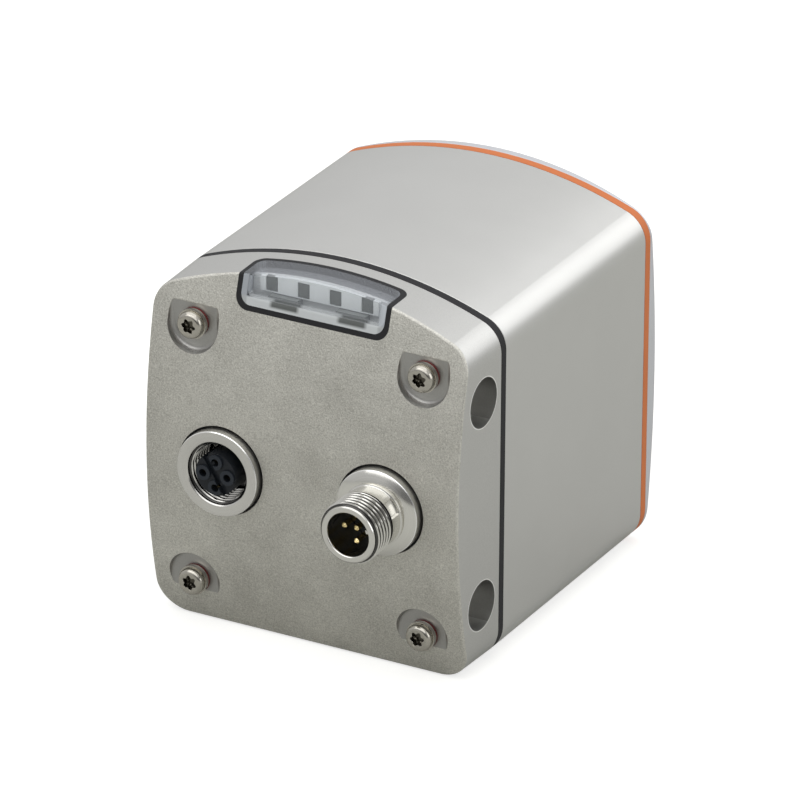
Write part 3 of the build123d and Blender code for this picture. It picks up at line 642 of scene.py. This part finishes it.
def plug_shell():
    """Male shell: keyed mouth, threaded tube, neck with two flats, ring and sloped flange."""
    low, high = (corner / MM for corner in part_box("plug_shell"))
    tip = low.y
    front = high.y
    flange = tip + plug_reach
    seat = flange + flange_thickness

    def mouth(angle):
        return plug_mouth_radius - (plug_key_depth if near(angle, plug_key_angle, plug_key_half) else 0.0)

    def flats(angle):
        sides = (plug_flat_angle, plug_flat_angle + 180)
        on_flat = any(near(angle, side, plug_flat_half) for side in sides)
        return plug_neck_radius - (plug_flat_depth if on_flat else 0.0)

    thread_start = tip + 0.3
    thread_end = tip + plug_thread_length
    rings = [
        (plug_mouth_radius, front),
        (mouth, tip + 0.4),
        (mouth, tip + 0.25),
        (plug_mouth_radius + 0.12, tip + 0.05),
        (plug_mouth_radius + 0.2, tip),
        (plug_tip_radius - 0.06, tip),
        (plug_tip_radius, tip + 0.06),
    ]
    rings += thread_rings(plug_thread_root, plug_thread_radius, thread_start, thread_end)
    rings += [
        (plug_neck_radius, thread_end + 0.1),
        (flats, thread_end + 0.2),
        (flats, flange - 1.55),
        (plug_neck_radius + 0.05, flange - 1.5),
        (plug_neck_radius + 0.28, flange - 1.4),
        (plug_neck_radius + 0.28, flange - 1.0),
        (plug_neck_radius + 0.1, flange - 0.92),
        (plug_neck_radius + 0.12, flange - 0.72),
        (plug_neck_radius + 0.5, flange - 0.66),
        (flange_radius - flange_bevel, flange),
        (flange_radius, flange + flange_bevel),
        (flange_radius, seat),
        (neck_radius, seat),
        (neck_radius, front),
    ]
    middle = centre("plug_shell")
    # The stations of the thread and the radii of its grooves bound the painted shade in the grooves
    thread = (thread_start, thread_end + 0.1)
    groove = (plug_thread_root - 0.1, plug_thread_radius - 0.22)
    metal = turned_metal("nickel_plug", (0.76, 0.75, 0.71), 0.16, middle, thread, groove)
    shell = lathe(middle.x, middle.z, rings, shell_corners)
    return piece("plug_shell_threaded", [shell], metal, "plug_shell")


def socket_shell():
    """Female shell: a flat flange round a chamfered bore with an inner thread."""
    low, high = (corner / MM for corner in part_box("socket_shell"))
    flange = low.y
    front = high.y
    seat = flange + flange_thickness
    lead = socket_mouth_radius - socket_minor_radius
    bore = insert_radius + insert_play
    bottom = flange + socket_depth
    thread_end = flange + 0.45
    rings = [(bore, front), (bore, bottom)]
    rings += thread_rings(socket_major_radius, socket_minor_radius, bottom - 0.4, thread_end)
    rings += [
        (socket_mouth_radius - lead * 0.25, flange + lead * 0.25),
        (socket_mouth_radius, flange + 0.04),
        (socket_mouth_radius + 0.08, flange),
        (flange_radius - flange_bevel, flange),
        (flange_radius, flange + flange_bevel),
        (flange_radius, seat),
        (neck_radius, seat),
        (neck_radius, front),
    ]
    middle = centre("socket_shell")
    # The stations of the thread and the radii of its grooves bound the painted shade in the grooves
    thread = (thread_end, bottom)
    groove = (socket_minor_radius + 0.24, socket_major_radius + 0.1)
    metal = turned_metal("nickel_socket", (0.72, 0.71, 0.68), 0.18, middle, thread, groove)
    shell = lathe(middle.x, middle.z, rings, shell_corners)
    return piece("socket_shell_threaded", [shell], metal, "socket_shell")


def cap_screws():
    """Round heads with a six-lobed recess, a groove and a collar."""
    low, high = (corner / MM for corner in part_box("cap_screws"))
    crown = low.y
    seat = crown + screw_head_height
    parts = []
    places = [
        (x, z)
        for x in (low.x + screw_head_radius, high.x - screw_head_radius)
        for z in (low.z + screw_head_radius, high.z - screw_head_radius)
    ]
    for number, (x, z) in enumerate(places):

        def lobes(scale, start=recess_turn + recess_turn_step * number):
            return lambda angle: scale * (lobe_radius + lobe_depth * cos(6 * (angle + start)))

        rings = [
            (recess_floor, crown + 1.15),
            (lobes(0.72), crown + 1.2),
            (lobes(0.94), crown + 1.05),
            (lobes(0.97), crown + 0.2),
            (lobes(1.04), crown + 0.08),
            (1.72, crown + 0.02),
            (1.95, crown + 0.05),
            (2.2, crown + 0.17),
            (2.42, crown + 0.38),
            (2.56, crown + 0.66),
            (2.62, crown + 1.0),
            (2.62, crown + 1.18),
            (2.5, crown + 1.26),
            (2.5, crown + 1.36),
            (2.86, crown + 1.4),
            (screw_head_radius, crown + 1.52),
            (screw_head_radius, seat - 0.08),
            (screw_head_radius - 0.08, seat),
            (screw_radius, seat),
            (screw_radius, seat + screw_length - 0.4),
            (screw_radius - 0.4, seat + screw_length),
        ]
        parts.append(lathe(x * MM, z * MM, rings, screw_corners, ends=True))
    return piece("cap_screw_heads", parts, screw_steel(), "cap_screws", sharp=28)


plug_shell()
socket_shell()
cap_screws()


# Studio

def studio():
    """A sky that is white where the camera sees it. As a light it is stronger upwards and towards
    the front of the object, and dim on the side that the photo was taken from."""
    world = bpy.data.worlds.new("studio")
    bpy.context.scene.world = world
    world.use_nodes = True
    tree = world.node_tree
    background = tree.nodes["Background"]
    rays = node(tree, "ShaderNodeLightPath")
    direct = calc(tree, "MAXIMUM", rays.outputs["Is Camera Ray"], rays.outputs["Is Transmission Ray"])
    axes = separated(tree, node(tree, "ShaderNodeTexCoord").outputs["Generated"])
    upward = ramp(tree, axes["Z"], (-0.1, 0.75), (0.62, 0.78))
    forward = ramp(tree, axes["Y"], (-0.7, 0.3), (0.78, 1.0))
    across = calc(tree, "MULTIPLY", axes["X"], photo_side.x)
    along = calc(tree, "MULTIPLY", axes["Y"], photo_side.y)
    dim = ramp(tree, calc(tree, "ADD", across, along), (0.7, 0.95), (1.0, 0.3))
    ambient = calc(tree, "MULTIPLY", calc(tree, "MULTIPLY", upward, forward), dim)
    strength = mix_values(tree, direct, ambient, 1.0)
    background.inputs["Color"].default_value = (1.0, 1.0, 1.0, 1.0)
    tree.links.new(strength, background.inputs["Strength"])


def floor():
    """A pale floor that keeps the shadow and is near white where the camera sees it."""
    mesh = bpy.data.meshes.new("floor")
    half = floor_half
    corners = [(-half, -half, 0), (half, -half, 0), (half, half, 0), (-half, half, 0)]
    mesh.from_pydata(corners, [], [(0, 1, 2, 3)])
    shown = bpy.data.objects.new("floor", mesh)
    shown.location.z = cad_low.z - floor_gap
    bpy.context.scene.collection.objects.link(shown)
    material, tree, shader = new_material("floor")
    shader.inputs["Roughness"].default_value = 0.9
    shader.inputs["Specular IOR Level"].default_value = 0.0
    paint = mix_colors(tree, noise(tree, 60 * MM), *floor_tones)
    tree.links.new(paint, shader.inputs["Base Color"])
    rays = node(tree, "ShaderNodeLightPath")
    seen = calc(tree, "MAXIMUM", rays.outputs["Is Camera Ray"], rays.outputs["Is Transmission Ray"])
    lift = node(tree, "ShaderNodeEmission")
    lift.inputs["Color"].default_value = (1.0, 1.0, 1.0, 1.0)
    tree.links.new(calc(tree, "MULTIPLY", seen, floor_lift), lift.inputs["Strength"])
    both = node(tree, "ShaderNodeAddShader")
    tree.links.new(shader.outputs[0], both.inputs[0])
    tree.links.new(lift.outputs[0], both.inputs[1])
    tree.links.new(both.outputs[0], tree.nodes["Material Output"].inputs["Surface"])
    mesh.materials.append(material)


def lamp(name, power, width, height, spot):
    """A soft panel that faces the middle of the object."""
    light = bpy.data.lights.new(name, "AREA")
    light.energy = power
    light.shape = "RECTANGLE"
    light.size = width
    light.size_y = height
    shown = bpy.data.objects.new(name, light)
    shown.location = spot
    shown.rotation_euler = (lamp_aim - Vector(spot)).to_track_quat("-Z", "Y").to_euler()
    bpy.context.scene.collection.objects.link(shown)


def camera():
    back = Vector((
        sin(view_azimuth) * cos(view_elevation),
        -cos(view_azimuth) * cos(view_elevation),
        sin(view_elevation),
    ))
    right = (-back).cross(Vector((0, 0, 1))).normalized()
    up = right.cross(-back)
    rolled_right = cos(view_roll) * right + sin(view_roll) * up
    rolled_up = cos(view_roll) * up - sin(view_roll) * right
    turn = Matrix((rolled_right, rolled_up, back)).transposed()
    lens = bpy.data.cameras.new("camera")
    lens.sensor_width = 36.0
    lens.lens = view_lens
    lens.clip_end = 50.0
    shown = bpy.data.objects.new("camera", lens)
    shown.matrix_world = Matrix.Translation(view_target + back * view_distance) @ turn.to_4x4()
    bpy.context.scene.collection.objects.link(shown)
    bpy.context.scene.camera = shown


studio()
floor()
lamp("overhead", 3.8, 1.3, 1.3, (-0.15, -0.05, 1.0))
lamp("edge", 1.7, 0.75, 0.75, (0.38, 0.8, 0.5))
lamp("near", 2.3, 1.4, 0.55, (-0.05, -0.66, 0.68))
lamp("side", 0.9, 0.5, 0.5, (0.8, -0.05, 0.35))
camera()
bpy.context.scene.view_settings.view_transform = "Standard"
